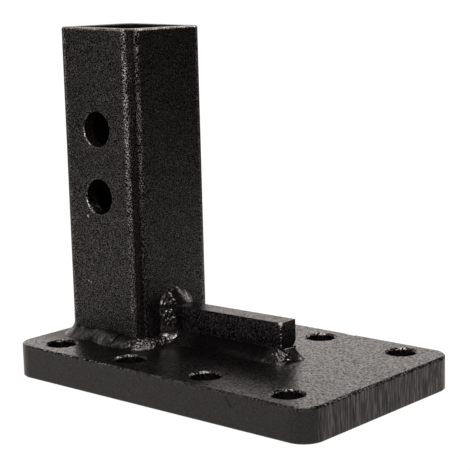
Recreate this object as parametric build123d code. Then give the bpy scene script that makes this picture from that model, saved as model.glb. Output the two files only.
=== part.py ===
from build123d import *
import os

os.makedirs("parts", exist_ok=True)

# Drop hitch bracket: a drilled plate with a square tube shank welded upright near one end
# and a short stiffening rib from the tube's foot along the plate.
# Frame: millimetres, origin at the centre of the plate's underside, +X along the plate
# from the tube towards the rib's free end, +Y across it, +Z up along the tube.

# Plate
plate_length = 186.0
plate_width = 111.0
plate_thickness = 16.4
plate_corner_radius = 10.5
plate_edge_break = 0.5
cut_edge_melt = 1.0

# Bolt holes through the plate, a grid centred on it
bolt_hole_diameter = 14.3
bolt_hole_columns = 4
bolt_column_pitch = 48.0
bolt_row_spacing = 85.0
bolt_hole_rim_break = 0.9

# Nicks in the plate's long edges: how deep, how wide, and where. The front one leans back
# towards the tube at its upper end.
nick_depth = 0.5
nick_width = 1.2
front_nick_x = 49.0
front_nick_height = 12.1
front_nick_length = 5.5
front_nick_lean = -35.0
back_nick_x = 33.0
back_nick_length = 6.5

# Square tube shank
tube_side = 50.8
tube_wall = 6.35
tube_corner_radius = 6.4
tube_inner_radius = 2.4
tube_length = 153.8
tube_end_break = 0.7
tube_end_margin = 8.6

# How far the tube's end is out of square, as turns of the cut about X and Y
tube_cut_turn_x = -0.5
tube_cut_turn_y = 0.8

# Hitch pin holes, through both side walls, measured from the tube's open end
pin_hole_diameter = 17.5
pin_hole_end_distance = 48.5
pin_hole_pitch = 33.1
pin_hole_count = 2
pin_hole_rim_break = 0.4

# Stiffening rib, a flat bar on edge, tilted so that it rises towards its free end
rib_length = 72.0
rib_thickness = 11.4
rib_height = 18.05
rib_tilt = 0.6
rib_edge_break = 0.6
rib_undercut_radius = 2.8
rib_undercut_height = 3.4

# Fillet welds: the leg out along the face that the piece stands on, the leg up the
# piece itself, and the height of the rounded face above a flat one
tube_weld_out = 7.2
tube_weld_up = 6.0
rib_weld_out = 5.5
rib_weld_up = 6.5
rib_end_weld_out = 5.0
rib_end_weld_up = 6.2
arch_weld_out = 7.0
arch_weld_up = 7.5
weld_crown = 0.5

# How far a run of weld is carried round a corner before the next one meets it
tube_corner_wrap = 8.0
rib_end_wrap = 8.0

# Places that follow from the sizes
top = plate_thickness
tube_centre_x = -plate_length / 2 + tube_end_margin + tube_side / 2
tube_face_x = tube_centre_x + tube_side / 2
tube_end_z = top + tube_length
rib_end_x = tube_face_x + rib_length
rib_half = rib_thickness / 2
reach = plate_length


def rounded_bar(length, width, height, radius):
    """Upright bar of a rounded rectangle's section, standing on the origin."""
    return extrude(RectangleRounded(length, width, radius), height)


def block(x_low, x_high, y_low, y_high, z_low, z_high):
    """Rectangular block between six planes."""
    size = (x_high - x_low, y_high - y_low, z_high - z_low)
    return Pos(x_low, y_low, z_low) * Box(*size, align=(Align.MIN, Align.MIN, Align.MIN))


def corner_cut(leg, length):
    """Bar along Y that takes this leg off both faces of a square edge it is centred on."""
    side = leg * 2**0.5
    return Rot(0, 45, 0) * Box(side, length, side)


# Drilled plate with rounded corners and lightly broken edges. The torch has melted its
# short edge beyond the rib, and each long side bears a nick.
def make_plate():
    plate = rounded_bar(plate_length, plate_width, plate_thickness, plate_corner_radius)
    rims = plate.faces().filter_by(Axis.Z).edges()
    plate = chamfer(rims, plate_edge_break)
    radius = bolt_hole_diameter / 2
    hung = (Align.CENTER, Align.CENTER, Align.MAX)
    rim = Cone(radius, radius + bolt_hole_rim_break, bolt_hole_rim_break, align=hung)
    drill = Cylinder(radius, 3 * plate_thickness) + Pos(0, 0, top) * rim
    spots = GridLocations(bolt_column_pitch, bolt_row_spacing, bolt_hole_columns, 2)
    plate -= [spot * drill for spot in spots]
    straight_edge = plate_width - 2 * plate_corner_radius
    plate -= Pos(plate_length / 2, 0, top) * corner_cut(cut_edge_melt, straight_edge)
    front_nick = Rot(0, front_nick_lean, 0) * Box(nick_width, 2 * nick_depth, front_nick_length)
    plate -= Pos(front_nick_x, -plate_width / 2, front_nick_height) * front_nick
    back_nick = Box(back_nick_length, 2 * nick_width, 2 * nick_depth)
    return plate - Pos(back_nick_x, plate_width / 2, top) * back_nick


# Square tube, sawn a little out of square at its open end, with that end's rims broken
# and two cross holes whose rims are broken on the outside
def make_tube():
    stock_length = tube_length + tube_side
    outer = rounded_bar(tube_side, tube_side, stock_length, tube_corner_radius)
    bore_side = tube_side - 2 * tube_wall
    bore = rounded_bar(bore_side, bore_side, stock_length, tube_inner_radius)
    waste = block(-tube_side, tube_side, -tube_side, tube_side, 0, 2 * tube_side)
    tube = outer - bore - Pos(0, 0, tube_length) * Rot(tube_cut_turn_x, tube_cut_turn_y, 0) * waste
    rims = tube.faces().sort_by(Axis.Z)[-1].edges()
    tube = chamfer(rims, tube_end_break)
    drill = Rot(90, 0, 0) * Cylinder(pin_hole_diameter / 2, 2 * tube_side)
    for index in range(pin_hole_count):
        height = tube_length - pin_hole_end_distance - index * pin_hole_pitch
        tube -= Pos(0, 0, height) * drill
    sides = tube.faces().sort_by(Axis.Y)
    rims = (sides[0].edges() + sides[-1].edges()).filter_by(GeomType.CIRCLE)
    return Pos(tube_centre_x, 0, top) * chamfer(rims, pin_hole_rim_break)


# Flat bar on edge, butted to the tube's face and ground to sit flat on the plate. The arc
# has burnt away its far end corner just above the weld.
def make_rib():
    bar = block(-rib_height, rib_length, -rib_half, rib_half, -rib_height, rib_height)
    upper_edges = bar.edges().group_by(Axis.Z)[-1].filter_by(Axis.X)
    end_edges = bar.faces().sort_by(Axis.X)[-1].edges().filter_by(Axis.Z)
    bar = chamfer(upper_edges + end_edges, rib_edge_break)
    rib = Rot(0, -rib_tilt, 0) * bar & block(0, reach, -reach, reach, 0, reach)
    standing = (Align.CENTER, Align.CENTER, Align.MIN)
    undercut = Cone(rib_undercut_radius, 0, rib_undercut_height, align=standing)
    rib -= Pos(rib_length, rib_half, rib_end_weld_up) * undercut
    return Pos(tube_face_x, 0, top) * rib


def fillet_section(leg_out, leg_up):
    """Section of a fillet weld in the XZ plane: two straight legs and a raised face."""
    foot = Vector(leg_out, 0, 0)
    toe = Vector(0, 0, leg_up)
    outward = Vector(leg_up, 0, leg_out).normalized()
    crown = (foot + toe) / 2 + outward * weld_crown
    return make_face(Polyline((0, 0, 0), foot, crown, toe, close=True))


def weld_ring(length, width, radius, leg_out, leg_up):
    """Fillet weld all round the foot of an upright bar of this section."""
    section = Pos(radius, 0, 0) * fillet_section(leg_out, leg_up)
    half_length = length / 2 - radius
    half_width = width / 2 - radius
    corner = revolve(section, Axis.Z, 90)
    ring = Part()
    for quarter in range(4):
        out, along = [(half_length, half_width), (half_width, half_length)][quarter % 2]
        side = Pos(out, 0, 0) * extrude(section, along, dir=(0, 1, 0), both=True)
        ring += Rot(0, 0, 90 * quarter) * (side + Pos(out, along, 0) * corner)
    return ring


def plan_block(points, height):
    """Upright block over an outline in plan, standing on the plate."""
    return Pos(0, 0, top) * extrude(make_face(Polyline(*points, close=True)), height)


# Weld round the tube's foot, one run to each side, mitred at the corners. The run beside
# the rib is carried round the near corner onto the front face.
def make_tube_welds():
    ring = weld_ring(tube_side, tube_side, tube_corner_radius, tube_weld_out, tube_weld_up)
    ring = Pos(tube_centre_x, 0, top) * ring
    centre = (tube_centre_x, 0)
    left, right = tube_centre_x - reach, tube_centre_x + reach
    wrap_x = tube_face_x - tube_corner_radius - tube_corner_wrap
    root_y = rib_half
    foot_x, foot_y = tube_face_x + tube_weld_out, rib_half + rib_weld_out
    near_mitre = [(right, -foot_y), (foot_x, -foot_y), (tube_face_x, -root_y)]
    far_mitre = [(right, foot_y), (foot_x, foot_y), (tube_face_x, root_y)]
    outlines = {
        "weld_tube_front": [centre, (left, -reach), (wrap_x, -reach), (wrap_x, 0)],
        "weld_tube_end": [centre, (left, reach), (left, -reach)],
        "weld_tube_back": [centre, (right, reach), (left, reach)],
        "weld_tube_rib_near": [(wrap_x, 0), (wrap_x, -reach), (right, -reach)] + near_mitre,
        "weld_tube_rib_far": [centre, (right, reach)] + far_mitre,
    }
    return {name: ring & plan_block(points, tube_length) for name, points in outlines.items()}


# Weld along both sides of the rib's foot, mitred to the tube's weld, and a third run
# carried round the rib's free end
def make_rib_welds():
    middle = Pos(tube_face_x + rib_length / 2, 0, top)
    bar = Pos(0, 0, rib_height / 2) * Box(rib_length, rib_thickness, rib_height)
    sides = weld_ring(rib_length, rib_thickness, 0, rib_weld_out, rib_weld_up)
    end = weld_ring(rib_length, rib_thickness, 0, rib_end_weld_out, rib_end_weld_up)
    wrap_x = rib_end_x - rib_end_wrap
    foot_x, foot_y = tube_face_x + tube_weld_out, rib_half + rib_weld_out
    near = [(tube_face_x, -rib_half), (foot_x, -foot_y), (wrap_x, -foot_y), (wrap_x, -rib_half)]
    far = [(x, -y) for x, y in near]
    tip = [(wrap_x, -reach), (reach, -reach), (reach, reach), (wrap_x, reach)]
    rib = make_rib()
    return {
        "weld_rib_near": middle * sides & plan_block(near, tube_length),
        "weld_rib_far": middle * sides & plan_block(far, tube_length),
        "weld_rib_end": (middle * (end + bar) & plan_block(tip, rib_end_weld_up)) - rib,
    }


# Weld up one side of the rib, over its top and down the other, on the tube's face
def make_arch_weld(lower_welds):
    bar = block(-rib_height, rib_height, -rib_half, rib_half, 0, arch_weld_up)
    arch = weld_ring(2 * rib_height, rib_thickness, 0, arch_weld_out, arch_weld_up) + bar
    arch = Pos(tube_face_x, 0, top) * Rot(0, 90, 0) * arch
    above_plate = block(tube_face_x, reach, -reach, reach, top, tube_end_z)
    return {"weld_rib_arch": (arch & above_plate) - make_rib() - lower_welds}


lower_welds = make_tube_welds() | make_rib_welds()
nodes = {
    "mounting_plate": make_plate(),
    "shank_tube": make_tube(),
    "stiffener_rib": make_rib(),
}
nodes |= lower_welds | make_arch_weld(list(lower_welds.values()))

for name, shape in nodes.items():
    shape.label = name
    export_step(shape, f"parts/{name}.step")
    print(name, len(shape.solids()), round(shape.volume, 1))
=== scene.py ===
import math

import bpy
import numpy as np
from mathutils import Matrix, Vector


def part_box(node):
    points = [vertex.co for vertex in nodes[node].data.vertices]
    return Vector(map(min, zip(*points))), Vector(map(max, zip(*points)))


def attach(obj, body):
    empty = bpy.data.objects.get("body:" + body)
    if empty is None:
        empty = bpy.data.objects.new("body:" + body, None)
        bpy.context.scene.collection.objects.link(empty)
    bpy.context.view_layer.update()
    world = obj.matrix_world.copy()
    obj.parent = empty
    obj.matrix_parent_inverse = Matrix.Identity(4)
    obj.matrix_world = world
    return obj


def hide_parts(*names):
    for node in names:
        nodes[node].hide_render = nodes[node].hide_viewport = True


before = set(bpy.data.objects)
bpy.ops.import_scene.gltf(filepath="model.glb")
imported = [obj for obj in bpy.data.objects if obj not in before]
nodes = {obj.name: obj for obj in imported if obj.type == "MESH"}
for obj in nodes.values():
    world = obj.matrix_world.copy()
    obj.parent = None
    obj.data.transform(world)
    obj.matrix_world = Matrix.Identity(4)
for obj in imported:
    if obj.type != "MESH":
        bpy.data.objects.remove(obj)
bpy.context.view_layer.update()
scene = bpy.context.scene
scene.view_settings.view_transform = "Standard"


# The camera stands in front of the plate's long side and towards its free end, a little
# above the open end of the tube, and is turned slightly about its own line of sight.
CAMERA_PLACE = Vector((0.4541, -0.5087, 0.1999))
CAMERA_AZIMUTH = math.radians(41.344)
CAMERA_ELEVATION = math.radians(10.639)
CAMERA_ROLL = math.radians(-1.427)
SENSOR_WIDTH = 36.0
FOCAL_PIXELS = 1454.09
PICTURE_PIXELS = 470

camera_data = bpy.data.cameras.new("camera")
camera_data.sensor_width = SENSOR_WIDTH
camera_data.lens = SENSOR_WIDTH * FOCAL_PIXELS / PICTURE_PIXELS
camera = bpy.data.objects.new("camera", camera_data)
camera.matrix_world = (
    Matrix.Translation(CAMERA_PLACE)
    @ Matrix.Rotation(CAMERA_AZIMUTH, 4, "Z")
    @ Matrix.Rotation(math.pi / 2 - CAMERA_ELEVATION, 4, "X")
    @ Matrix.Rotation(CAMERA_ROLL, 4, "Z")
)
scene.collection.objects.link(camera)
scene.camera = camera


# The light tent: white to the camera all round, and in reflections white near the horizon
# at the back left, darker overhead and dim on the side of the plate's free end. Here and
# below, four numbers for a ramp are where it starts and ends and its values there.
BACK_SHARE = 0.6
HORIZON_GLOW = (0.35, 1.05, 0.03, 1.70)
OVERHEAD_GLOW = (0.0, 0.6, 0.10, 0.45)
HORIZON_TO_OVERHEAD = (0.12, 0.80)
ROOM_LIGHT = 0.10
WARM_LIGHT = (1.06, 0.99, 0.95, 1)
WHITE = (1, 1, 1, 1)


def node(tree, kind, settings=None, **inputs):
    """Adds a shader node, sets its properties and values, and links any output given.

    An input is named by its label, or by its number after the letter i.
    """
    made = tree.nodes.new(kind)
    for key, value in (settings or {}).items():
        setattr(made, key, value)
    for key, value in inputs.items():
        numbered = key[0] == "i" and key[1:].isdigit()
        socket = made.inputs[int(key[1:]) if numbered else key.replace("_", " ")]
        if isinstance(value, bpy.types.NodeSocket):
            tree.links.new(value, socket)
        else:
            socket.default_value = value
    return made


def maths(tree, operation, first, second=0.0):
    """One sum on two numbers or outputs."""
    return node(tree, "ShaderNodeMath", {"operation": operation}, i0=first, i1=second).outputs[0]


def ramp(tree, value, low, high, at_low=0.0, at_high=1.0):
    """Smooth change from one number to another as a value goes from low to high."""
    made = node(
        tree, "ShaderNodeMapRange", {"interpolation_type": "SMOOTHSTEP"},
        Value=value, From_Min=low, From_Max=high, To_Min=at_low, To_Max=at_high,
    )
    return made.outputs[0]


def mixed(tree, share, first, second):
    """One number going over into another as the share goes from 0 to 1."""
    made = node(tree, "ShaderNodeMix", {"data_type": "FLOAT"}, i0=share, i2=first, i3=second)
    return made.outputs[0]


def mixed_colour(tree, share, first, second):
    """One colour going over into another as the share goes from 0 to 1."""
    made = node(tree, "ShaderNodeMix", {"data_type": "RGBA"}, i0=share, i6=first, i7=second)
    return made.outputs[2]


def axes_of(tree, vector):
    """The X, Y and Z of a vector."""
    return node(tree, "ShaderNodeSeparateXYZ", Vector=vector).outputs[:]


def ray_kinds(tree):
    """One for what the camera sees, also through glass, and one for reflections."""
    paths = node(tree, "ShaderNodeLightPath").outputs
    seen = maths(tree, "MAXIMUM", paths["Is Camera Ray"], paths["Is Transmission Ray"])
    return seen, paths["Is Glossy Ray"]


world = bpy.data.worlds.new("light_tent")
world.use_nodes = True
scene.world = world
tree = world.node_tree
tree.nodes.clear()
seen, mirror = ray_kinds(tree)
x, y, z = axes_of(tree, node(tree, "ShaderNodeTexCoord").outputs["Generated"])
back_left = maths(tree, "SUBTRACT", maths(tree, "MULTIPLY", y, BACK_SHARE), x)
horizon = ramp(tree, back_left, *HORIZON_GLOW)
overhead = ramp(tree, back_left, *OVERHEAD_GLOW)
mirrored = mixed(tree, ramp(tree, z, *HORIZON_TO_OVERHEAD), horizon, overhead)
level = maths(tree, "MAXIMUM", seen, maths(tree, "MULTIPLY", mirror, mirrored))
other = maths(tree, "SUBTRACT", 1.0, maths(tree, "MAXIMUM", seen, mirror))
level = maths(tree, "ADD", level, maths(tree, "MULTIPLY", other, ROOM_LIGHT))
cast = mixed_colour(tree, seen, WARM_LIGHT, WHITE)
glow = node(tree, "ShaderNodeBackground", Color=cast, Strength=level)
node(tree, "ShaderNodeOutputWorld", Surface=glow.outputs[0])


# Soft boxes: one over the camera, one overhead, a strip of light on either side that picks
# out the grain along the tube's near corner, and two small ones, behind and on the left,
# that light the broken rims.
LAMPS_AIM = Vector((0, 0, 0.08))


def soft_box(name, azimuth, elevation, distance, width, height, power):
    """Square lamp at an angle round the object, turned to face it."""
    lamp = bpy.data.lights.new(name, "AREA")
    lamp.shape = "RECTANGLE"
    lamp.size = width
    lamp.size_y = height
    lamp.energy = power
    lamp.color = WARM_LIGHT[:3]
    turn, lift = math.radians(azimuth), math.radians(elevation)
    level = math.cos(lift)
    towards = Vector((math.sin(turn) * level, -math.cos(turn) * level, math.sin(lift)))
    box = bpy.data.objects.new(name, lamp)
    box.location = towards * distance + LAMPS_AIM
    box.rotation_euler = towards.to_track_quat("Z", "Y").to_euler()
    scene.collection.objects.link(box)


# Azimuth and elevation in degrees, distance, width and height in metres, power in watts.
# Azimuth runs from the plate's front towards its free end.
soft_box("camera_soft_box", 36, 26, 1.4, 0.55, 0.45, 19)
soft_box("left_strip", -12, 9, 1.4, 0.18, 0.40, 1.8)
soft_box("right_strip", 98, 9, 1.4, 0.18, 0.40, 1.1)
soft_box("top_soft_box", 45, 76, 1.3, 1.1, 1.1, 20)
soft_box("back_soft_box", 166, 40, 1.4, 0.35, 0.35, 5.5)
soft_box("side_soft_box", -74, 47, 1.4, 0.25, 0.25, 0.5)


# A plain white table. To the camera it is white apart from the object's soft shadow; in
# reflections it is bright by the object and dims with distance, most on the far right, with
# two bright streaks that run out from the foot of the tube's near corner.
TABLE_HALF = 12.0
TABLE_COLOUR = (0.85, 0.85, 0.85, 1)
TABLE_WHITE = 1.04
WHITE_SHARE = (0.15, 0.6, 0.90, 1.0)
NEAR_GLOW = (0.14, 0.24, 0.80, 1.05)
FAR_GLOW = (-0.5, 0.20, 0.23, 0.03)
NEAR_SHARE = (0.35, 0.68, 1.0, 0.0)
RIGHT_CUT = (-0.02, 0.25, 0.0, 0.36)
CORNER_FOOT = (-0.0336, -0.0254, 0.0)
STREAK_FADE = 0.15

# Bearing and half width in degrees, how far out the streak begins, and its strength
STREAKS = ((-8, 16, 0.20, 2.4), (98, 18, 0.50, 1.2))

table = bpy.data.meshes.new("table")
edge = TABLE_HALF
square = [(-edge, -edge, 0), (edge, -edge, 0), (edge, edge, 0), (-edge, edge, 0)]
table.from_pydata(square, [], [(0, 1, 2, 3)])
table_top = bpy.data.objects.new("table", table)
scene.collection.objects.link(table_top)


def vector_maths(tree, operation, first, second):
    """One sum on two vectors that gives a vector."""
    made = node(tree, "ShaderNodeVectorMath", {"operation": operation}, i0=first, i1=second)
    return made.outputs["Vector"]


def length_of(tree, vector):
    """The length of a vector."""
    made = node(tree, "ShaderNodeVectorMath", {"operation": "LENGTH"}, i0=vector)
    return made.outputs["Value"]


table_finish = bpy.data.materials.new("white_table")
table_finish.use_nodes = True
tree = table_finish.node_tree
tree.nodes.clear()
place = node(tree, "ShaderNodeTexCoord").outputs["Object"]
spread = length_of(tree, place)
sideways = axes_of(tree, place)[0]
far_glow = ramp(tree, sideways, *FAR_GLOW)
near_glow = ramp(tree, spread, *NEAR_GLOW)
cut_spread = maths(tree, "ADD", spread, ramp(tree, sideways, *RIGHT_CUT))
pool = mixed(tree, ramp(tree, cut_spread, *NEAR_SHARE), far_glow, near_glow)
x, y, z = axes_of(tree, vector_maths(tree, "SUBTRACT", place, CORNER_FOOT))
bearing = maths(tree, "ARCTAN2", x, maths(tree, "MULTIPLY", y, -1.0))
for middle, half_width, start, strength in STREAKS:
    aside = maths(tree, "ABSOLUTE", maths(tree, "SUBTRACT", bearing, math.radians(middle)))
    streak = ramp(tree, aside, 0.0, math.radians(half_width), strength, 0.0)
    begins = ramp(tree, spread, start, start + STREAK_FADE)
    pool = maths(tree, "ADD", pool, maths(tree, "MULTIPLY", streak, begins))
seen, mirror = ray_kinds(tree)
white = maths(tree, "MULTIPLY", seen, ramp(tree, spread, *WHITE_SHARE))
bright = mixed(tree, mirror, TABLE_WHITE, pool)
cast = mixed_colour(tree, mirror, WHITE, WARM_LIGHT)
shine = node(tree, "ShaderNodeEmission", Color=cast, Strength=bright)
matt = node(tree, "ShaderNodeBsdfDiffuse", Color=TABLE_COLOUR)
share = maths(tree, "MAXIMUM", white, mirror)
both = node(tree, "ShaderNodeMixShader", Fac=share, i1=matt.outputs[0], i2=shine.outputs[0])
node(tree, "ShaderNodeOutputMaterial", Surface=both.outputs[0])
table.materials.append(table_finish)


# The plate: hot-rolled flat steel, cut to length with a torch, drilled, and baked with a
# black powder coat. The coat has flowed out in fine grains on the wide faces; the short
# edges keep the torch's fine upright drag lines under it.
PLATE_BLACK = (0.0015, 0.0012, 0.0013)

# What the coat has in common on every piece. The scales are lumps to the metre.
BARE_METAL = (0.32, 0.31, 0.30, 1)
COAT_IOR = 1.5
COAT_ROUGHNESS = 0.276
ROUGHER_PATCHES = 1.06
MOTTLE_RANGE = (0.3, 0.7)
MOTTLE_SCALE = 90.0
PATCH_SCALE = 200.0
PATCH_STRENGTH = (0.3, 0.7, 0.7, 1.3)
GRAIN_SHADE = (0.42, 0.76, -0.75, 3.4)
LEAST_SHADE = 0.02
MIDDLE_GRAIN = 0.5
CHIP_RAGGEDNESS = 3
CHIP_CORE = 0.6


def noise(tree, place, scale, **values):
    """Soft noise with so many lumps to the metre."""
    return node(tree, "ShaderNodeTexNoise", Vector=place, Scale=scale, **values).outputs[0]


def even_grain(size):
    """Grain of one size all over."""
    def make(tree, place):
        return noise(tree, place, 1 / size, Detail=2.0, Roughness=0.7)
    return make


def evenly(amount):
    """A value that is the same all over."""
    return lambda tree, place: amount


def nowhere(tree, place, grain):
    """No matt places."""
    return 0.0


def powder_coat(
    name, colour, roughness, shine, height, grain_in, speckle_and_glints_in, matt_in=nowhere, chips=(),
):
    """Black powder coat whose grain shows in height, colour and gloss, with worn chips.

    The colour and the specular level are their base values times 1 + speckle * shade,
    where the shade is below zero in the hollows of the grain and several times one on its
    peaks. The speckle is stronger in some patches than in others; where a piece raises it
    much, on rims and corners, the peaks are painted glints. Some places can be matt. A chip
    is a ragged ball round a point, listed with its radius, where grey metal shows.
    """
    coat = bpy.data.materials.new(name)
    coat.use_nodes = True
    tree = coat.node_tree
    shader = tree.nodes["Principled BSDF"]
    shader.inputs["IOR"].default_value = COAT_IOR
    place = node(tree, "ShaderNodeTexCoord").outputs["Object"]
    grain = grain_in(tree, place)
    mottle = noise(tree, place, MOTTLE_SCALE, Detail=3.0)
    patches = noise(tree, place, PATCH_SCALE, Detail=1.0)
    amount = maths(tree, "MULTIPLY", ramp(tree, patches, *PATCH_STRENGTH), speckle_and_glints_in(tree, place))
    shade = maths(tree, "MULTIPLY", ramp(tree, grain, *GRAIN_SHADE), amount)
    shade = maths(tree, "MAXIMUM", maths(tree, "ADD", shade, 1.0), LEAST_SHADE)
    scaled = node(tree, "ShaderNodeVectorMath", {"operation": "SCALE"}, i0=colour, Scale=shade)
    worn = 0.0
    for *middle, radius in chips:
        apart = length_of(tree, vector_maths(tree, "SUBTRACT", place, middle))
        uneven = maths(tree, "SUBTRACT", grain, MIDDLE_GRAIN)
        uneven = maths(tree, "MULTIPLY", uneven, CHIP_RAGGEDNESS * radius)
        ragged = maths(tree, "ADD", apart, uneven)
        chip = ramp(tree, ragged, CHIP_CORE * radius, radius, 1.0, 0.0)
        worn = maths(tree, "MAXIMUM", worn, chip)
    bare = mixed_colour(tree, worn, scaled.outputs["Vector"], BARE_METAL)
    tree.links.new(bare, shader.inputs["Base Color"])
    specular = maths(tree, "MULTIPLY", shade, shine)
    tree.links.new(specular, shader.inputs["Specular IOR Level"])
    rough = ramp(tree, mottle, *MOTTLE_RANGE, roughness, roughness * ROUGHER_PATCHES)
    tree.links.new(rough, shader.inputs["Roughness"])
    bump = node(tree, "ShaderNodeBump", Distance=height, Height=grain)
    tree.links.new(bump.outputs[0], shader.inputs["Normal"])
    pit = node(tree, "ShaderNodeBsdfDiffuse", Color=(*colour, 1)).outputs[0]
    matt = matt_in(tree, place, grain)
    both = node(tree, "ShaderNodeMixShader", Fac=matt, i1=shader.outputs[0], i2=pit)
    tree.links.new(both.outputs[0], tree.nodes["Material Output"].inputs["Surface"])
    return coat


def dress(name, coat):
    """Gives a CAD node this finish on every slot."""
    mesh = nodes[name].data
    if not mesh.materials:
        mesh.materials.append(coat)
    for index in range(len(mesh.materials)):
        nodes[name].material_slots[index].material = coat


# Sizes of the grain, and where on the plate each kind starts: heights for the top and the
# dashes, and the distance from the middle for the short edges
TOP_GRAIN = 0.0010
SIDE_GRAIN = 0.0007
SIDE_GRAIN_SHARE = 0.3
SIDE_GRAIN_LEVEL = 0.35
DRAG_SCALE = 1100.0
DRAG_STRETCH = (1.0, 1.0, 0.09)
DASH_STRETCH = (1.0, 1.0, 0.3)
DASHES_BY_EDGE = (0.0135, 0.0155, 0.0, 0.8)
TOP_STARTS = (0.0150, 0.0157)
SHORT_EDGE = (0.0922, 0.0928)


def plate_grain(tree, place):
    """Grain on the top, nearly smooth long sides with short dashes by their upper edge, and
    drag lines on the torch-cut short edges."""
    x, y, z = axes_of(tree, place)
    coarse = even_grain(TOP_GRAIN)(tree, place)
    fine = even_grain(SIDE_GRAIN)(tree, place)
    drawn = vector_maths(tree, "MULTIPLY", place, DRAG_STRETCH)
    drag = noise(tree, drawn, DRAG_SCALE, Detail=2.0, Roughness=0.6, Distortion=0.5)
    drawn = vector_maths(tree, "MULTIPLY", place, DASH_STRETCH)
    dashes = noise(tree, drawn, DRAG_SCALE, Detail=1.0)
    calm = maths(tree, "ADD", maths(tree, "MULTIPLY", fine, SIDE_GRAIN_SHARE), SIDE_GRAIN_LEVEL)
    calm = mixed(tree, ramp(tree, z, *DASHES_BY_EDGE), calm, dashes)
    on_end = ramp(tree, maths(tree, "ABSOLUTE", x), *SHORT_EDGE)
    return mixed(tree, ramp(tree, z, *TOP_STARTS), mixed(tree, on_end, calm, drag), coarse)


# The bolt holes' grid and the distance from an axis at which the rim ends, then how much
# the grain shows in each place: round the bolt holes' rims it is raised into painted glints,
# and along the upper front edge into a painted highlight line
HOLE_PITCH = 0.048
HOLE_ROW = 0.0425
HOLE_RIM = (0.0080, 0.0086)
HOLE_GLINT_SPECKLE = (1.3, 0.4)
SHORT_EDGE_SPECKLE = (0.0, 0.55)
FRONT_EDGE_HIGHLIGHT_SPECKLE = (-0.0552, -0.0550, 4.0, 0.0)
UPPER_EDGE = (0.0157, 0.0160)
BESIDE_FOOT = (-0.078, -0.066), (-0.034, -0.014, 1.0, 0.0)


def from_hole(tree, x, y):
    """How far a place is from the axis of the nearest bolt hole."""
    folded = maths(tree, "PINGPONG", x, HOLE_PITCH / 2)
    lengthways = maths(tree, "SUBTRACT", HOLE_PITCH / 2, folded)
    sideways = maths(tree, "SUBTRACT", maths(tree, "ABSOLUTE", y), HOLE_ROW)
    offset = node(tree, "ShaderNodeCombineXYZ", X=lengthways, Y=sideways).outputs[0]
    return length_of(tree, offset)


def band(tree, value, rise, fall):
    """A number that comes in over one range of a value and goes out over another."""
    return maths(tree, "MULTIPLY", ramp(tree, value, *rise), ramp(tree, value, *fall))


def plate_speckle_and_glints(tree, place):
    """Stronger grain on the torch-cut short edges, painted glints round the bolt holes' rims
    and a painted highlight along the upper front edge beside the tube's foot."""
    x, y, z = axes_of(tree, place)
    by_hole = ramp(tree, from_hole(tree, x, y), *HOLE_RIM, *HOLE_GLINT_SPECKLE)
    on_end = ramp(tree, maths(tree, "ABSOLUTE", x), *SHORT_EDGE, *SHORT_EDGE_SPECKLE)
    on_front = ramp(tree, y, *FRONT_EDGE_HIGHLIGHT_SPECKLE)
    front_edge_highlight = maths(tree, "MULTIPLY", on_front, ramp(tree, z, *UPPER_EDGE))
    front_edge_highlight = maths(tree, "MULTIPLY", front_edge_highlight, band(tree, x, *BESIDE_FOOT))
    return maths(tree, "MAXIMUM", maths(tree, "MAXIMUM", by_hole, on_end), front_edge_highlight)


# How matt the low grains are, where the torch has melted the upper edge, and where the coat
# is thin beside the tube
TOP_PITS = (0.30, 0.56, 0.8, 0.0)
PITS_BY_HOLE = (0.4, 1.0)
MELTED_PITS = (0.40, 0.62, 0.95, 0.2)
MELTED_ALONG = (0.0918, 0.0922)
MELTED_ABOVE = (0.0147, 0.0154)
THIN_BESIDE_TUBE = (0.030, 0.048, 0.5, 0.0)
THIN_UP_TO_RIB = (-0.012, 0.006, 1.0, 0.0)


def plate_pits(tree, place, grain):
    """Matt pits at the low points of the grain on the plate's top and along the melted
    edge, and the thinner, duller coat near the foot of the tube."""
    x, y, z = axes_of(tree, place)
    pits = maths(tree, "MULTIPLY", ramp(tree, grain, *TOP_PITS), ramp(tree, z, *TOP_STARTS))
    by_hole = ramp(tree, from_hole(tree, x, y), *HOLE_RIM, *PITS_BY_HOLE)
    pits = maths(tree, "MULTIPLY", pits, by_hole)
    melted = maths(tree, "MULTIPLY", ramp(tree, x, *MELTED_ALONG), ramp(tree, z, *MELTED_ABOVE))
    melted = maths(tree, "MULTIPLY", melted, ramp(tree, grain, *MELTED_PITS))
    aside = ramp(tree, maths(tree, "ABSOLUTE", y), *THIN_BESIDE_TUBE)
    thin = maths(tree, "MULTIPLY", aside, ramp(tree, x, *THIN_UP_TO_RIB))
    return maths(tree, "MAXIMUM", maths(tree, "MAXIMUM", pits, melted), thin)


plate_coat = powder_coat(
    "plate_powder_coat", PLATE_BLACK, COAT_ROUGHNESS, shine=0.42, height=0.00012,
    grain_in=plate_grain, speckle_and_glints_in=plate_speckle_and_glints, matt_in=plate_pits,
)
dress("mounting_plate", plate_coat)


# The shank: cold-formed square steel tube, sawn a little out of square, with two pin holes
# through its side walls. The coat on it is grainy all over and thin and matt inside; on the
# rounded corners and the rims its grain is raised into painted glints.
TUBE_BLACK = (0.0018, 0.0014, 0.0015)

# Sizes of the grain, and how much it shows on the faces, and on the corners and the rims, where it
# is raised into painted glints
TUBE_GRAIN = 0.0005
CORNER_GRAIN = 0.0006
TUBE_SPECKLE = 1.7
CORNER_GLINT_SPECKLE = 7.5
RIM_GLINT_SPECKLE = (-0.0011, -0.0008, 0.0, 12.0)
PIN_RIM_GLINT_SPECKLE = (0.0091, 0.0096, 4.0, 0.0)

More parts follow.
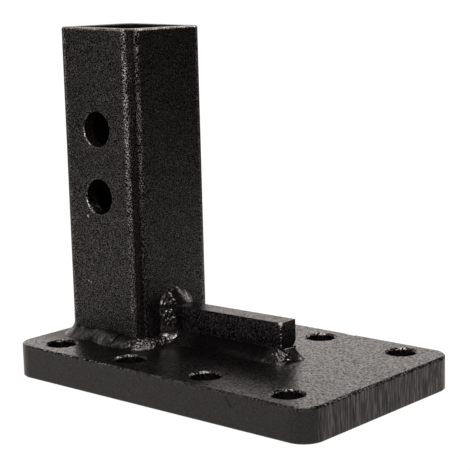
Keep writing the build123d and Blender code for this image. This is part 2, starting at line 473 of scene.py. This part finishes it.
# The tube's axis, where its corners and outer faces start, the plane of the sawn end, the
# middle between the pin holes, and where the coat is matt
TUBE_X = -0.0590
CORNER_STARTS = (0.0186, 0.0197), (0.0206, 0.0222, 1.0, 0.6)
CORNER_UPWARDS = (0.04, 0.16, 0.45, 1.0)
OUTER_FACES = (0.0244, 0.0247)
CUT_MIDDLE = (TUBE_X, 0.0, 0.1702)
CUT_NORMAL = (math.sin(math.radians(0.8)), math.sin(math.radians(0.5)), 1.0)
PINS_MIDDLE = (TUBE_X, 0.0, 0.10515)
HALF_PIN_PITCH = 0.01655
MATT_INSIDE = (0.0244, 0.0249, 0.8, 0.0)
MATT_BELOW_RIM = (-0.0003, -0.0001, 1.0, 0.0)

# Chips in the coat below the pin holes: a point on the front face and a radius
TUBE_CHIPS = [
    (-0.0674, -0.0254, 0.0785, 0.0007),
    (-0.0688, -0.0254, 0.0455, 0.0005),
    (-0.0672, -0.0254, 0.0450, 0.0004),
]


def from_middle(tree, place):
    """How far a place is from the tube's axis, along the plate and across it."""
    x, y, z = axes_of(tree, place)
    return maths(tree, "ABSOLUTE", maths(tree, "SUBTRACT", x, TUBE_X)), maths(tree, "ABSOLUTE", y)


def corners(tree, place):
    """One on the tube's rounded corners, most where they start, less further down."""
    nearer = maths(tree, "MINIMUM", *from_middle(tree, place))
    upwards = ramp(tree, axes_of(tree, place)[2], *CORNER_UPWARDS)
    return maths(tree, "MULTIPLY", band(tree, nearer, *CORNER_STARTS), upwards)


def tube_grain(tree, place):
    """Fine grain, coarser on the corners."""
    fine, coarse = even_grain(TUBE_GRAIN)(tree, place), even_grain(CORNER_GRAIN)(tree, place)
    return mixed(tree, corners(tree, place), fine, coarse)


def above_cut(tree, place):
    """Height above the plane of the tube's sawn end, which leans a little."""
    offset = vector_maths(tree, "SUBTRACT", place, CUT_MIDDLE)
    dot = {"operation": "DOT_PRODUCT"}
    return node(tree, "ShaderNodeVectorMath", dot, i0=offset, i1=CUT_NORMAL).outputs["Value"]


def from_pin_hole(tree, place):
    """How far a place is from the axis of the nearer pin hole."""
    x, y, z = axes_of(tree, vector_maths(tree, "SUBTRACT", place, PINS_MIDDLE))
    upwards = maths(tree, "SUBTRACT", maths(tree, "ABSOLUTE", z), HALF_PIN_PITCH)
    return length_of(tree, node(tree, "ShaderNodeCombineXYZ", X=x, Y=upwards).outputs[0])


def tube_speckle_and_glints(tree, place):
    """Grain, raised into painted glints on the corners, the rims of the pin holes and the rim of
    the sawn end.
    """
    outer = ramp(tree, maths(tree, "MAXIMUM", *from_middle(tree, place)), *OUTER_FACES)
    rim_glints = maths(tree, "MULTIPLY", ramp(tree, above_cut(tree, place), *RIM_GLINT_SPECKLE), outer)
    pin_rim_glints = ramp(tree, from_pin_hole(tree, place), *PIN_RIM_GLINT_SPECKLE)
    corner_glints = maths(tree, "MULTIPLY", corners(tree, place), CORNER_GLINT_SPECKLE)
    faces = maths(tree, "ADD", TUBE_SPECKLE, corner_glints)
    return maths(tree, "ADD", faces, maths(tree, "MAXIMUM", rim_glints, pin_rim_glints))


def tube_bores(tree, place, grain):
    """The thin matt coat in the pin holes and inside the tube."""
    inside = ramp(tree, maths(tree, "MAXIMUM", *from_middle(tree, place)), *MATT_INSIDE)
    return maths(tree, "MULTIPLY", inside, ramp(tree, above_cut(tree, place), *MATT_BELOW_RIM))


tube_coat = powder_coat(
    "tube_powder_coat", TUBE_BLACK, COAT_ROUGHNESS, shine=0.26, height=0.00020,
    grain_in=tube_grain, speckle_and_glints_in=tube_speckle_and_glints, matt_in=tube_bores, chips=TUBE_CHIPS,
)
dress("shank_tube", tube_coat)


# The rib: a short flat bar stood on edge, sheared to length and welded down both sides. The
# coat on it is like the tube's but less glossy, with a chip and a row of small nicks down
# the near edge of its free end.
RIB_BLACK = (0.0014, 0.0013, 0.0015)
RIB_GRAIN = 0.0006
RIB_SPECKLE = 1.2
CORNER_CHIP = (0.0378, -0.0052, 0.0350, 0.0012)
NICK_HEIGHTS = (0.0334, 0.0322, 0.0299, 0.0284, 0.0270, 0.0246)
NICKS = [(0.0381, -0.0055, height, 0.00030) for height in NICK_HEIGHTS]
rib_coat = powder_coat(
    "rib_powder_coat", RIB_BLACK, COAT_ROUGHNESS, shine=0.18, height=0.00012,
    grain_in=even_grain(RIB_GRAIN), speckle_and_glints_in=evenly(RIB_SPECKLE), chips=[CORNER_CHIP, *NICKS],
)
dress("stiffener_rib", rib_coat)


# The welds: beads of weld metal run by hand round the tube's foot and the rib, under the
# same coat, which lies wet and shiny over their ripples. Each bead stands for one run.
WELD_BLACK = (0.0012, 0.0010, 0.0010)
WELD_ROUGHNESS = 0.16
WELD_GRAIN = 0.0010
WELD_SPECKLE = 0.35
BESIDE_RIB = (-0.024, -0.012, 0.0, 0.8), (0.028, 0.034, 1.0, 0.0)
ON_TUBE_FACE = (-0.0340, -0.0334, 0.0, 0.20), (-0.028, -0.024, 1.0, 0.0)
ABOVE_FOOT = (0.0185, 0.0215)
LEFT_OF_CORNER = (-0.040, -0.036, 0.3, 0.0)


def dull_places(tree, place, grain):
    """The duller coat beside the rib, over it and along the tube's front, where less of the
    powder's flow reached."""
    x, y, z = axes_of(tree, place)
    beside = band(tree, x, *BESIDE_RIB)
    above = maths(tree, "MULTIPLY", band(tree, x, *ON_TUBE_FACE), ramp(tree, z, *ABOVE_FOOT))
    left = ramp(tree, x, *LEFT_OF_CORNER)
    return maths(tree, "MAXIMUM", maths(tree, "MAXIMUM", beside, above), left)


weld_coat = powder_coat(
    "weld_powder_coat", WELD_BLACK, WELD_ROUGHNESS, shine=0.42, height=0.00010,
    grain_in=even_grain(WELD_GRAIN), speckle_and_glints_in=evenly(WELD_SPECKLE), matt_in=dull_places,
)

MM = 0.001
BEAD_STEP = 0.25 * MM
SECTION_POINTS = 33
ROOT_DEPTH = 0.6 * MM
SMOOTHING_POINTS = 31
WAVE_HEIGHT = 0.12 * MM
WAVE_PITCH = 8 * MM
WAVE_SEEDS = (50, 70)
LUMP_PITCH = (3.0, 0.5)
LUMP_WAVES = 16
LUMP_RANGE = 6
LUMP_STRETCH = (0.1, 1.6)
LUMP_LEAN = (-1.3, 1.3)
DRIFT = 0.2
DRIFT_PITCH = 0.37


def outline(walk, half_length, half_width, radius):
    """Walks anticlockwise round a rounded rectangle from the middle of its +X side.

    Each quarter is half a side, a corner arc and half the next side, then turned by a
    right angle for each quarter already walked. Gives x, y and the outward angle.
    """
    along, across = half_length - radius, half_width - radius
    arc = math.pi * radius / 2
    quarter = along + across + arc
    turns = np.floor(walk / quarter)
    rest = walk - turns * quarter
    first = np.where(turns % 2 == 1, along, across)
    last = along + across - first
    sweep = np.clip((rest - first) / radius, 0, math.pi / 2)
    u = last + radius * np.cos(sweep) - np.clip(rest - first - arc, 0, None)
    v = np.minimum(rest, first) + radius * np.sin(sweep)
    turned = turns * math.pi / 2
    x = u * np.cos(turned) - v * np.sin(turned)
    y = u * np.sin(turned) + v * np.cos(turned)
    return x, y, sweep + turned


def level_path(centre, floor, half_length, half_width, radius, start, stop):
    """Root line round an upright bar's foot, with its outward and upward directions."""
    walk = np.linspace(start, stop, int(abs(stop - start) / BEAD_STEP) + 2)
    x, y, angle = outline(walk, half_length, half_width, radius)
    root = np.stack([centre[0] + x, centre[1] + y, np.full_like(x, floor)], axis=1)
    out = np.stack([np.cos(angle), np.sin(angle), np.zeros_like(x)], axis=1)
    up = np.zeros_like(out)
    up[:, 2] = 1
    return root, out, up


def lumps(s, t, along, across, seed):
    """Uneven surface between about -1 and 1: a sum of cosines of random pitch and phase.

    Their mean pitch is so far along the bead and so great a part of the way across it. The
    length s drifts to and fro a little first, so that no lump comes back in step.
    """
    chance = np.random.default_rng(seed)
    s = s + DRIFT * along * np.cos(2 * math.pi * s / along * DRIFT_PITCH + seed)
    total = 0
    for _ in range(LUMP_WAVES):
        stretch = chance.uniform(*LUMP_STRETCH)
        lean = chance.uniform(*LUMP_LEAN)
        phase = chance.uniform(0, 2 * math.pi)
        total = total + np.cos(2 * math.pi * (s * stretch / along + t * lean / across) + phase)
    return total / LUMP_RANGE


def signed_volume(mesh):
    """Volume in a closed mesh: a sixth of each triangle's corners' triple product, summed."""
    mesh.calc_loop_triangles()
    points = np.empty(len(mesh.vertices) * 3)
    mesh.vertices.foreach_get("co", points)
    indices = np.empty(len(mesh.loop_triangles) * 3, dtype=np.int32)
    mesh.loop_triangles.foreach_get("vertices", indices)
    triangles = points.reshape(-1, 3)[indices.reshape(-1, 3)]
    crossed = np.cross(triangles[:, 1], triangles[:, 2])
    return np.einsum("ij,ij->i", triangles[:, 0], crossed).sum() / 6


def weld_bead(name, replaced, path, shape_along, rough_along, seed, pitch=LUMP_PITCH):
    """A fillet bead along a root line.

    Across the bead t runs from the toe on the ground face to the toe on the standing
    face: root + out * leg_out * (1 - t) + up * leg_up * t, bulged by crown * 4t(1 - t)
    square to that face. Each row of shape_along gives a share of the bead's length and
    there the leg on the ground face, the leg up the standing face and the crown; each row
    of rough_along gives a share and the height of the lumps; all in millimetres. The
    section closes behind, sunk in the corner.
    """
    root, out, up = path
    step = np.linalg.norm(np.diff(root, axis=0), axis=1)
    turned = np.linalg.norm(np.diff(out, axis=0), axis=1) * MM
    s = np.concatenate([[0], np.cumsum(step + turned)])
    share = s / s[-1]
    t = np.linspace(0, 1, SECTION_POINTS)[None, :]
    hump = 4 * t * (1 - t)
    window = np.hanning(SMOOTHING_POINTS)
    window /= window.sum()

    def along(at, values):
        """Listed values at each place along the bead, without creases, as a column in metres."""
        padded = np.pad(np.interp(share, at, values), SMOOTHING_POINTS // 2, mode="edge")
        return np.convolve(padded, window, mode="valid")[:, None] * MM

    at, leg_out, leg_up, crown = np.array(shape_along).T
    out_waves, up_waves = (
        lumps(s, 0, WAVE_PITCH, 1, seed + more)[:, None] for more in WAVE_SEEDS
    )
    leg_out = along(at, leg_out) + WAVE_HEIGHT * out_waves
    leg_up = along(at, leg_up) + WAVE_HEIGHT * up_waves
    crown = along(at, crown)
    rough = along(*np.array(rough_along).T)
    face = out[:, None] * leg_up[..., None] + up[:, None] * leg_out[..., None]
    face /= np.linalg.norm(face, axis=2, keepdims=True)
    uneven = lumps(s[:, None], t, pitch[0] * MM, pitch[1], seed)
    height = crown * hump + rough * uneven * hump
    shape = root[:, None] + out[:, None] * (leg_out * (1 - t))[..., None]
    shape = shape + up[:, None] * (leg_up * t)[..., None] + face * height[..., None]
    foot = shape[:, :1] - up[:, None] * ROOT_DEPTH
    heel = (root - (out + up) * ROOT_DEPTH)[:, None]
    toe = shape[:, -1:] - out[:, None] * ROOT_DEPTH
    ring = np.concatenate([foot, shape, toe, heel], axis=1)
    rows, columns = ring.shape[:2]
    row, column = np.meshgrid(np.arange(rows - 1), np.arange(columns), indexing="ij")
    corner = row * columns + column
    beside = row * columns + (column + 1) % columns
    quads = np.stack([corner, beside, beside + columns, corner + columns], axis=-1)
    faces = quads.reshape(-1, 4).tolist()
    faces.append(list(range(columns - 1, -1, -1)))
    faces.append(list(range((rows - 1) * columns, rows * columns)))
    mesh = bpy.data.meshes.new(name)
    mesh.from_pydata(ring.reshape(-1, 3).tolist(), [], faces)
    if signed_volume(mesh) < 0:
        mesh.flip_normals()
    mesh.polygons.foreach_set("use_smooth", [True] * (len(faces) - 2) + [False] * 2)
    mesh.materials.append(weld_coat)
    bead = bpy.data.objects.new(name, mesh)
    scene.collection.objects.link(bead)
    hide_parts(replaced)
    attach(bead, "root")


# Weld round the tube's foot, in five runs. Each stops where the next one starts, a little
# past the corner, as a welder moves round the piece. The three behind are plain and smooth.
tube_low, tube_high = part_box("shank_tube")
rib_low, rib_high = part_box("stiffener_rib")
plate_top = tube_low.z
tube_centre = ((tube_low.x + tube_high.x) / 2, (tube_low.y + tube_high.y) / 2)
tube_half = (tube_high.x - tube_low.x) / 2
rib_side = (rib_high.y - rib_low.y) / 2
TUBE_CORNER = 6.4 * MM
FRONT_WRAP = 13.0 * MM
OVERLAP = 1.0 * MM
tube_quarter = 2 * (tube_half - TUBE_CORNER) + math.pi * TUBE_CORNER / 2
mid_corner = tube_quarter / 2


def tube_path(start, stop):
    """Root line along part of the tube's foot."""
    return level_path(tube_centre, plate_top, tube_half, tube_half, TUBE_CORNER, start, stop)


PLAIN = [(0, 7.0, 5.6, -0.2), (0.5, 7.0, 5.6, 0.1), (1, 7.0, 5.6, -0.2)]
SMOOTH = [(0, 0.08), (0.5, 0.05), (1, 0.08)]
weld_bead(
    "bead_tube_rib_far", "weld_tube_rib_far",
    tube_path(rib_side - OVERLAP, mid_corner + OVERLAP),
    PLAIN, SMOOTH, seed=1,
)
weld_bead(
    "bead_tube_back", "weld_tube_back",
    tube_path(mid_corner, tube_quarter + mid_corner + OVERLAP),
    PLAIN, SMOOTH, seed=2,
)
weld_bead(
    "bead_tube_end", "weld_tube_end",
    tube_path(tube_quarter + mid_corner, 2 * tube_quarter + mid_corner + OVERLAP),
    [(0, 7.0, 5.6, -0.2), (0.5, 6.8, 5.6, 0.1), (0.8, 6.0, 6.0, -0.5), (1, 5.2, 6.2, -0.9)],
    SMOOTH, seed=3,
)
weld_bead(
    "bead_tube_front", "weld_tube_front",
    tube_path(2 * tube_quarter + mid_corner, 3 * tube_quarter + mid_corner - FRONT_WRAP),
    [
        (0, 5.2, 6.2, -0.9), (0.1, 5.6, 6.0, -0.8), (0.33, 7.0, 4.8, 0.3), (0.58, 5.8, 5.6, 0.4),
        (0.66, 5.8, 6.0, 0.5), (0.84, 7.4, 6.4, 0.9), (0.94, 8.2, 6.0, 1.0), (1, 8.0, 5.0, 0.9),
    ],
    SMOOTH, seed=4,
)
weld_bead(
    "bead_tube_rib_near", "weld_tube_rib_near",
    tube_path(
        3 * tube_quarter + mid_corner - FRONT_WRAP - OVERLAP,
        4 * tube_quarter - rib_side + OVERLAP,
    ),
    [
        (0, 8.0, 4.8, 0.7), (0.25, 6.8, 4.4, 0.5), (0.45, 6.4, 4.8, 0.5), (0.7, 6.6, 4.2, 0.2),
        (1, 6.9, 5.2, 0.4),
    ],
    [(0, 0.05), (0.26, 0.08), (0.36, 0.45), (0.5, 0.42), (0.62, 0.10), (0.8, 0.50), (1, 0.70)],
    seed=15, pitch=(2.6, 0.34),
)


# Weld at the rib's foot: one run along each side, from the tube's face to a little under
# the third one, which is carried round the free end.
RIB_CORNER = 2.5 * MM
END_WRAP = 9.0 * MM
END_OVERLAP = 1.5 * MM
STOP_SHORT = 0.5 * MM
rib_centre = ((rib_low.x + rib_high.x) / 2, (rib_low.y + rib_high.y) / 2)
rib_half = (rib_high.x - rib_low.x) / 2
side_length = 2 * rib_half - END_WRAP
far_start = rib_side - RIB_CORNER + math.pi * RIB_CORNER / 2 + END_WRAP - RIB_CORNER


def rib_path(start, stop):
    """Root line along part of the rib's foot."""
    return level_path(rib_centre, plate_top, rib_half, rib_side, RIB_CORNER, start, stop)


weld_bead(
    "bead_rib_far", "weld_rib_far",
    rib_path(far_start - END_OVERLAP, far_start + side_length - STOP_SHORT),
    [(0, 5.0, 6.4, -0.5), (0.5, 5.0, 6.6, -0.5), (1, 5.0, 5.2, -0.5)],
    [(0, 0.06), (1, 0.03)], seed=6,
)
weld_bead(
    "bead_rib_end", "weld_rib_end", rib_path(-far_start, far_start),
    [
        (0, 5.0, 6.8, -0.5), (0.3, 4.8, 6.4, 0.1), (0.5, 4.6, 6.0, 0.1), (0.7, 5.0, 5.6, -0.5),
        (1, 5.0, 6.0, -0.5),
    ],
    [(0, 0.10), (0.2, 0.35), (0.34, 0.50), (0.40, 0.15), (0.46, 0.02), (1, 0.04)],
    seed=7, pitch=(1.9, 0.4),
)
weld_bead(
    "bead_rib_near", "weld_rib_near",
    rib_path(-far_start - side_length + STOP_SHORT, -far_start + END_OVERLAP),
    [(0, 5.0, 5.0, -0.2), (0.2, 5.0, 5.6, -0.6), (0.5, 5.2, 6.4, -0.6), (1, 5.0, 6.6, -0.5)],
    [(0, 0.40), (0.10, 0.25), (0.2, 0.02), (0.8, 0.01), (1, 0.10)], seed=8,
)


# Weld on the tube's face, up one side of the rib, over its top and down the other. Its root
# line is an outline walked in the plane of that face.
ARCH_CORNER = 0.6 * MM
RIB_RISE = 0.75 * MM
rib_tall = rib_high.z - rib_low.z - RIB_RISE
arch_quarter = rib_tall + rib_side - 2 * ARCH_CORNER + math.pi * ARCH_CORNER / 2
arch_walk = np.linspace(-arch_quarter, arch_quarter, int(2 * arch_quarter / BEAD_STEP))
x, y, angle = outline(arch_walk, rib_tall, rib_side, ARCH_CORNER)
root = np.stack([np.full_like(x, rib_low.x), rib_centre[1] + y, plate_top + x], axis=1)
out = np.stack([np.zeros_like(x), np.sin(angle), np.cos(angle)], axis=1)
up = np.zeros_like(out)
up[:, 0] = 1
weld_bead(
    "bead_rib_arch", "weld_rib_arch", (root, out, up),
    [
        (0, 8.6, 9.4, 0.2), (0.06, 7.0, 7.4, 0.1), (0.12, 6.0, 6.4, 0.1), (0.20, 6.0, 6.4, 0.5),
        (0.33, 6.3, 5.0, 0.4), (0.40, 5.8, 4.4, 0.1), (0.47, 7.6, 5.6, 0.1),
        (0.53, 8.2, 6.0, 0.0), (0.60, 6.2, 6.0, 0.2), (1, 6.0, 6.0, 0),
    ],
    [
        (0, 0.50), (0.03, 0.50), (0.06, 0.02), (0.14, 0.02), (0.20, 0.45), (0.25, 0.60),
        (0.34, 0.60), (0.38, 0.0), (1, 0.03),
    ],
    seed=12, pitch=(5.0, 0.30),
)
